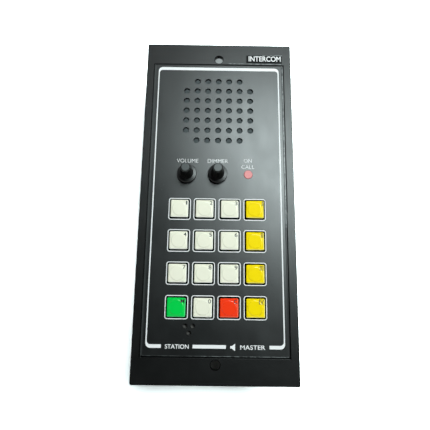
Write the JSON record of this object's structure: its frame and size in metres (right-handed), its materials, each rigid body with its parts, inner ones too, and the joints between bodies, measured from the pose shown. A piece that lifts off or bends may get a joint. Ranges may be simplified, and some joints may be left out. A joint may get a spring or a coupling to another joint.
{
  "type": "intercom station",
  "caption": "Flush-mount intercom station: black panel with speaker grille, knobs, call lamp and square push keys, on a plated steel rear case.",
  "frame": {"origin": "middle of the rear case's back, on which the station lies, below the middle of the panel", "axes": "+X across the panel to the right, +Y up the panel to the speaker end, +Z out of its face"},
  "size_m": [0.125, 0.28, 0.0782],
  "materials": {
    "panel_paint": "black textured powder coat",
    "overlay_film": "black satin film",
    "label_film": "black gloss film",
    "key_cream": "cream moulded key",
    "key_green": "green moulded key",
    "key_red": "red moulded key",
    "key_yellow": "yellow moulded key",
    "knob_black": "black fluted plastic",
    "knob_cap_grey": "grey plastic",
    "lamp_red": "translucent red lens",
    "diode_red": "red moulded diode",
    "plated_steel": "zinc plated",
    "case_steel": "zinc-plated folded sheet",
    "bright_aluminium": "turned",
    "black_aluminium": "black anodised",
    "ferrite": "sintered ferrite",
    "core_iron": "varnished laminations",
    "cone_paper": "black pressed paper",
    "screen_cloth": "dark grey woven screen",
    "foam": "closed-cell foam",
    "black_rubber": "moulded rubber",
    "switch_plastic": "moulded housing",
    "board_green": "glass-fibre board with green lacquer",
    "winding_tape": "yellow winding tape",
    "capacitor_sleeve": "blue shrunk sleeve",
    "black_plastic": "moulded body",
    "ribbon_grey": "flat grey cable",
    "terminal_green": "moulded terminal block",
    "earth_brass": "turned"
  },
  "bodies": {
    "station": {"front_panel": "panel_paint", "front_overlay": "overlay_film", "station_label": "label_film", "panel_seal": "foam", "grille_screen": "screen_cloth", "speaker_gasket": "foam", "speaker_basket": "plated_steel", "speaker_cone": "cone_paper", "speaker_magnet": "ferrite", "speaker_fasteners": "plated_steel", "volume_potentiometer": "plated_steel", "dimmer_potentiometer": "plated_steel", "potentiometer_nuts": "plated_steel", "call_lamp_lens": "lamp_red", "call_lamp_diode": "diode_red", "microphone_boot": "black_rubber", "microphone_capsule": "bright_aluminium", "key_switches": "switch_plastic", "key_board": "board_green", "panel_studs": "plated_steel", "board_spacers": "bright_aluminium", "board_nuts": "plated_steel", "rear_case": "case_steel", "case_pillars": "bright_aluminium", "case_screws": "plated_steel", "main_board": "board_green", "main_board_fixings": "plated_steel", "transformer_core": "core_iron", "transformer_winding": "winding_tape", "electrolytic_capacitors": "capacitor_sleeve", "integrated_circuits": "black_plastic", "heat_sink": "black_aluminium", "amplifier_chip": "black_plastic", "ribbon_headers": "black_plastic", "ribbon_cable": "ribbon_grey", "terminal_block": "terminal_green", "terminal_screws": "plated_steel", "earth_stud": "earth_brass"},
    "volume_control": {"volume_shaft": "bright_aluminium", "volume_knob": "knob_black", "volume_knob_cap": "knob_cap_grey"},
    "dimmer_control": {"dimmer_shaft": "bright_aluminium", "dimmer_knob": "knob_black", "dimmer_knob_cap": "knob_cap_grey"},
    "key_1_button": {"key_1": "key_cream"},
    "key_2_button": {"key_2": "key_cream"},
    "key_3_button": {"key_3": "key_cream"},
    "key_i_button": {"key_i": "key_yellow"},
    "key_4_button": {"key_4": "key_cream"},
    "key_5_button": {"key_5": "key_cream"},
    "key_6_button": {"key_6": "key_cream"},
    "key_ii_button": {"key_ii": "key_yellow"},
    "key_7_button": {"key_7": "key_cream"},
    "key_8_button": {"key_8": "key_cream"},
    "key_9_button": {"key_9": "key_cream"},
    "key_iii_button": {"key_iii": "key_yellow"},
    "key_m_button": {"key_m": "key_green"},
    "key_0_button": {"key_0": "key_cream"},
    "key_c_button": {"key_c": "key_red"},
    "key_iv_button": {"key_iv": "key_yellow"}
  },
  "joints": [
    {"name": "volume_turn", "type": "hinge", "parent": "station", "child": "volume_control", "pos_m": [-0.025, 0.02102, 0.061], "axis": [0, 0, 1], "range_deg": [-150, 150]},
    {"name": "dimmer_turn", "type": "hinge", "parent": "station", "child": "dimmer_control", "pos_m": [0, 0.02102, 0.061], "axis": [0, 0, 1], "range_deg": [-150, 150]},
    {"name": "key_1_press", "type": "slide", "parent": "station", "child": "key_1_button", "axis": [0, 0, -1], "range_m": [0, 0.003], "stiffness_N_per_m": 300, "springref_m": -0.001},
    {"name": "key_2_press", "type": "slide", "parent": "station", "child": "key_2_button", "axis": [0, 0, -1], "range_m": [0, 0.003], "stiffness_N_per_m": 300, "springref_m": -0.001},
    {"name": "key_3_press", "type": "slide", "parent": "station", "child": "key_3_button", "axis": [0, 0, -1], "range_m": [0, 0.003], "stiffness_N_per_m": 300, "springref_m": -0.001},
    {"name": "key_i_press", "type": "slide", "parent": "station", "child": "key_i_button", "axis": [0, 0, -1], "range_m": [0, 0.003], "stiffness_N_per_m": 300, "springref_m": -0.001},
    {"name": "key_4_press", "type": "slide", "parent": "station", "child": "key_4_button", "axis": [0, 0, -1], "range_m": [0, 0.003], "stiffness_N_per_m": 300, "springref_m": -0.001},
    {"name": "key_5_press", "type": "slide", "parent": "station", "child": "key_5_button", "axis": [0, 0, -1], "range_m": [0, 0.003], "stiffness_N_per_m": 300, "springref_m": -0.001},
    {"name": "key_6_press", "type": "slide", "parent": "station", "child": "key_6_button", "axis": [0, 0, -1], "range_m": [0, 0.003], "stiffness_N_per_m": 300, "springref_m": -0.001},
    {"name": "key_ii_press", "type": "slide", "parent": "station", "child": "key_ii_button", "axis": [0, 0, -1], "range_m": [0, 0.003], "stiffness_N_per_m": 300, "springref_m": -0.001},
    {"name": "key_7_press", "type": "slide", "parent": "station", "child": "key_7_button", "axis": [0, 0, -1], "range_m": [0, 0.003], "stiffness_N_per_m": 300, "springref_m": -0.001},
    {"name": "key_8_press", "type": "slide", "parent": "station", "child": "key_8_button", "axis": [0, 0, -1], "range_m": [0, 0.003], "stiffness_N_per_m": 300, "springref_m": -0.001},
    {"name": "key_9_press", "type": "slide", "parent": "station", "child": "key_9_button", "axis": [0, 0, -1], "range_m": [0, 0.003], "stiffness_N_per_m": 300, "springref_m": -0.001},
    {"name": "key_iii_press", "type": "slide", "parent": "station", "child": "key_iii_button", "axis": [0, 0, -1], "range_m": [0, 0.003], "stiffness_N_per_m": 300, "springref_m": -0.001},
    {"name": "key_m_press", "type": "slide", "parent": "station", "child": "key_m_button", "axis": [0, 0, -1], "range_m": [0, 0.003], "stiffness_N_per_m": 300, "springref_m": -0.001},
    {"name": "key_0_press", "type": "slide", "parent": "station", "child": "key_0_button", "axis": [0, 0, -1], "range_m": [0, 0.003], "stiffness_N_per_m": 300, "springref_m": -0.001},
    {"name": "key_c_press", "type": "slide", "parent": "station", "child": "key_c_button", "axis": [0, 0, -1], "range_m": [0, 0.003], "stiffness_N_per_m": 300, "springref_m": -0.001},
    {"name": "key_iv_press", "type": "slide", "parent": "station", "child": "key_iv_button", "axis": [0, 0, -1], "range_m": [0, 0.003], "stiffness_N_per_m": 300, "springref_m": -0.001}
  ]
}
